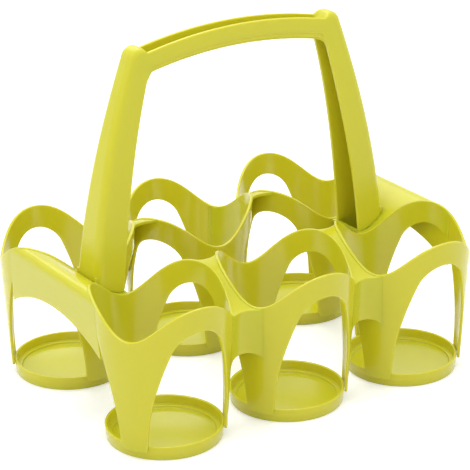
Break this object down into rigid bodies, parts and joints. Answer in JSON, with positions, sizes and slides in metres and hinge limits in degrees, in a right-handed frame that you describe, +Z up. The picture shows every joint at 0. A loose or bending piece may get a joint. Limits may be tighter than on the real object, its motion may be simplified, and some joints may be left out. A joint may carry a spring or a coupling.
{
  "type": "six pack carrier",
  "caption": "Lime plastic carrier for six drinks: two rows of three waved, windowed sleeves on round trays, end saddles and a lift-out bow handle.",
  "frame": {"origin": "on the ground under the middle of the carrier, between the two rows", "axes": "+X to the right along the three cups of a row, +Y to the back row, +Z up"},
  "size_m": [0.307, 0.235, 0.2665],
  "materials": {
    "lime_plastic": "satin gloss, one moulded colour all over"
  },
  "bodies": {
    "basket": {"sleeve_front_left": "lime_plastic", "sleeve_front_middle": "lime_plastic", "sleeve_front_right": "lime_plastic", "sleeve_back_left": "lime_plastic", "sleeve_back_middle": "lime_plastic", "sleeve_back_right": "lime_plastic", "tray_front_left": "lime_plastic", "tray_front_middle": "lime_plastic", "tray_front_right": "lime_plastic", "tray_back_left": "lime_plastic", "tray_back_middle": "lime_plastic", "tray_back_right": "lime_plastic", "bridge_front_left": "lime_plastic", "bridge_front_right": "lime_plastic", "bridge_back_left": "lime_plastic", "bridge_back_right": "lime_plastic", "saddle_left": "lime_plastic", "saddle_right": "lime_plastic"},
    "grip": {"handle": "lime_plastic"}
  },
  "joints": [
    {"name": "handle_lift", "type": "slide", "parent": "basket", "child": "grip", "axis": [0, 0, 1], "range_m": [0, 0.024]}
  ]
}
